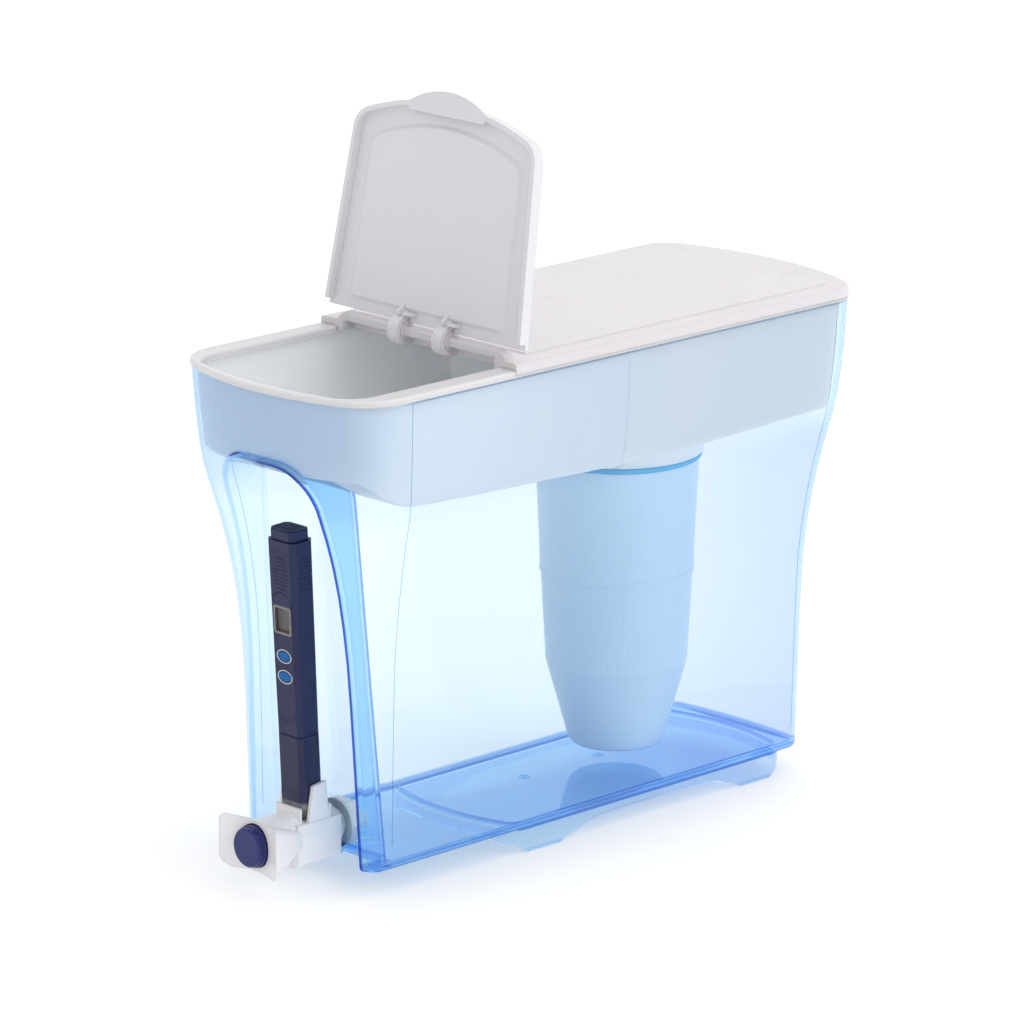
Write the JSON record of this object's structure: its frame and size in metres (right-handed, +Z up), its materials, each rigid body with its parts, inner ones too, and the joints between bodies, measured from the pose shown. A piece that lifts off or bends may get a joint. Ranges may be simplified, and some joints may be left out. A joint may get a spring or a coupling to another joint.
{
  "type": "gravity water filter with tap",
  "caption": "Long clear fridge water tank with a pouring reservoir under a flip lid, a drop filter below it, a push tap in front and a pen tester standing in a cradle on the tap",
  "frame": {"origin": "centre of the footprint, on the floor under the tank's feet, with the lid standing open", "axes": "X across the tank, Y along it with the tap towards -Y, Z up"},
  "size_m": [0.1386, 0.3642, 0.3753],
  "materials": {
    "tank_blue": "clear light blue, polished",
    "white_plastic": "satin moulded",
    "white_gloss": "satin moulded",
    "filter_white": "milky translucent",
    "seal_blue": "smooth",
    "screen_white": "mesh",
    "foam": "open foam",
    "carbon": "granular",
    "resin": "granular beads",
    "membrane": "felted",
    "tap_white": "satin moulded",
    "navy": "fine texture",
    "stem_grey": "smooth",
    "valve_rubber": "smooth",
    "washer_rubber": "smooth",
    "spring_steel": "drawn wire",
    "silver": "satin",
    "window_clear": "polished",
    "lcd": "grey display",
    "board_green": "solder mask",
    "key_blue": "smooth",
    "pin_metal": "plated",
    "cell_metal": "plated"
  },
  "bodies": {
    "tank_body": {"tank": "tank_blue", "tap_body": "tap_white", "tap_outer_washer": "washer_rubber", "tap_inner_washer": "washer_rubber", "tap_nut": "tap_white", "stem_o_ring": "valve_rubber", "tap_spring": "spring_steel"},
    "tap_plunger": {"tap_button": "navy", "tap_stem": "stem_grey", "tap_valve_seal": "valve_rubber"},
    "reservoir_body": {"reservoir": "white_plastic"},
    "cover_body": {"rear_cover": "white_gloss"},
    "lid_body": {"pour_lid": "white_gloss"},
    "filter_body": {"filter_housing": "filter_white", "filter_seal_ring": "seal_blue", "filter_cap": "filter_white", "filter_coarse_screen": "screen_white", "filter_foam": "foam", "filter_carbon_bed": "carbon", "filter_resin_bed": "resin", "filter_membrane": "membrane"},
    "sheath_body": {"tester_sheath": "navy"},
    "tester_body": {"tester_case": "navy", "tester_bezel": "silver", "tester_window": "window_clear", "tester_display": "lcd", "tester_board": "board_green", "tester_probe_pins": "pin_metal", "tester_cells": "cell_metal"},
    "battery_cap_body": {"tester_battery_cap": "navy"},
    "power_key": {"tester_power_button": "key_blue"},
    "hold_key": {"tester_hold_button": "key_blue"}
  },
  "joints": [
    {"name": "tap_press", "type": "slide", "parent": "tank_body", "child": "tap_plunger", "axis": [0, 1, 0], "range_m": [0, 0.005], "stiffness_N_per_m": 500, "springref_m": -0.006},
    {"name": "reservoir_lift", "type": "slide", "parent": "tank_body", "child": "reservoir_body", "axis": [0, 0, 1], "range_m": [0, 0.24]},
    {"name": "cover_lift", "type": "slide", "parent": "reservoir_body", "child": "cover_body", "axis": [0, 0, 1], "range_m": [0, 0.06]},
    {"name": "lid_hinge", "type": "hinge", "parent": "cover_body", "child": "lid_body", "pos_m": [0, -0.0634, 0.2585], "axis": [1, 0, 0], "range_deg": [0, 100]},
    {"name": "filter_twist", "type": "hinge", "parent": "reservoir_body", "child": "filter_body", "pos_m": [0, 0.068, 0.1123], "axis": [0, 0, 1], "range_deg": [0, 60]},
    {"name": "tester_lift", "type": "slide", "parent": "tank_body", "child": "sheath_body", "axis": [0, -0.0471, 0.9989], "range_m": [0, 0.008]},
    {"name": "sheath_pull", "type": "slide", "parent": "sheath_body", "child": "tester_body", "axis": [0, -0.0471, 0.9989], "range_m": [0, 0.018]},
    {"name": "battery_cap_pull", "type": "slide", "parent": "tester_body", "child": "battery_cap_body", "axis": [0, -0.0471, 0.9989], "range_m": [0, 0.006]},
    {"name": "power_press", "type": "slide", "parent": "tester_body", "child": "power_key", "axis": [0, 0.9989, 0.0471], "range_m": [0, 0.0006], "stiffness_N_per_m": 300, "springref_m": -0.001},
    {"name": "hold_press", "type": "slide", "parent": "tester_body", "child": "hold_key", "axis": [0, 0.9989, 0.0471], "range_m": [0, 0.0006], "stiffness_N_per_m": 300, "springref_m": -0.001}
  ]
}
